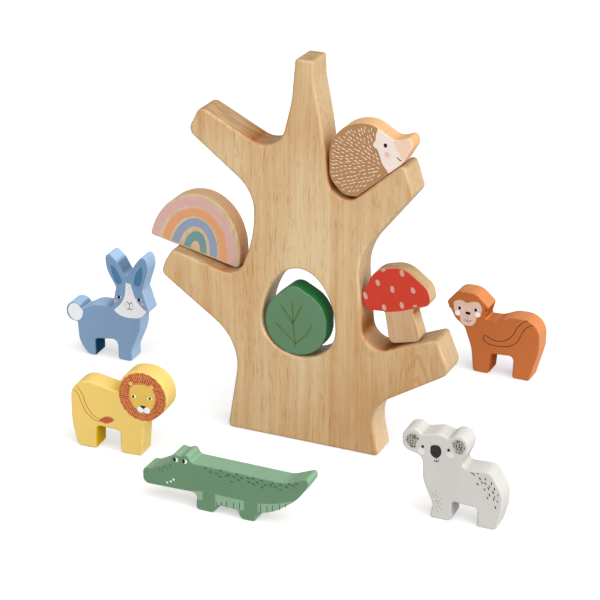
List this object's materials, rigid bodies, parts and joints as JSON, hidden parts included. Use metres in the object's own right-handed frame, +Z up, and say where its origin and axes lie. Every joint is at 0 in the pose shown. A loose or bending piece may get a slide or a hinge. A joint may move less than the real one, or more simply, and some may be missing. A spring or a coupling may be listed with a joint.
{
  "type": "balancing tree game",
  "caption": "Flat wooden tree with branches and a hole, on which painted animal, leaf, mushroom and rainbow blocks are balanced.",
  "frame": {"origin": "middle of the tree's flat foot, where it stands on the floor", "axes": "+Z up, the tree's broad front faces -Y, +X to the right as seen from the front"},
  "size_m": [0.3704, 0.2736, 0.26],
  "materials": {
    "tree": "oiled pale hardwood, vertical grain",
    "hedgehog": "printed front, bare wood rim",
    "rainbow": "printed stripes on bare wood",
    "leaf": "satin paint with printed veins",
    "mushroom": "printed cap on bare wood",
    "rabbit": "satin paint with printed face",
    "lion": "satin paint with printed face",
    "crocodile": "satin paint with printed face",
    "monkey": "satin paint with printed face",
    "koala": "satin paint with printed face"
  },
  "bodies": {
    "tree": {"tree": "tree"},
    "hedgehog": {"hedgehog": "hedgehog"},
    "rainbow": {"rainbow": "rainbow"},
    "leaf": {"leaf": "leaf"},
    "mushroom": {"mushroom": "mushroom"},
    "rabbit": {"rabbit": "rabbit"},
    "lion": {"lion": "lion"},
    "crocodile": {"crocodile": "crocodile"},
    "monkey": {"monkey": "monkey"},
    "koala": {"koala": "koala"}
  },
  "joints": [
    {"name": "hedgehog_lift", "type": "slide", "parent": "tree", "child": "hedgehog", "axis": [0, 0, 1], "range_m": [0, 0.1]},
    {"name": "rainbow_draw", "type": "slide", "parent": "tree", "child": "rainbow", "axis": [0, -1, 0], "range_m": [0, 0.04]},
    {"name": "leaf_draw", "type": "slide", "parent": "tree", "child": "leaf", "axis": [0, -1, 0], "range_m": [0, 0.04]},
    {"name": "mushroom_draw", "type": "slide", "parent": "tree", "child": "mushroom", "axis": [0, -1, 0], "range_m": [0, 0.04]},
    {"name": "rabbit_lift", "type": "slide", "parent": "tree", "child": "rabbit", "axis": [0, 0, 1], "range_m": [0, 0.1]},
    {"name": "lion_lift", "type": "slide", "parent": "tree", "child": "lion", "axis": [0, 0, 1], "range_m": [0, 0.1]},
    {"name": "crocodile_lift", "type": "slide", "parent": "tree", "child": "crocodile", "axis": [0, 0, 1], "range_m": [0, 0.1]},
    {"name": "monkey_lift", "type": "slide", "parent": "tree", "child": "monkey", "axis": [0, 0, 1], "range_m": [0, 0.1]},
    {"name": "koala_lift", "type": "slide", "parent": "tree", "child": "koala", "axis": [0, 0, 1], "range_m": [0, 0.1]}
  ]
}
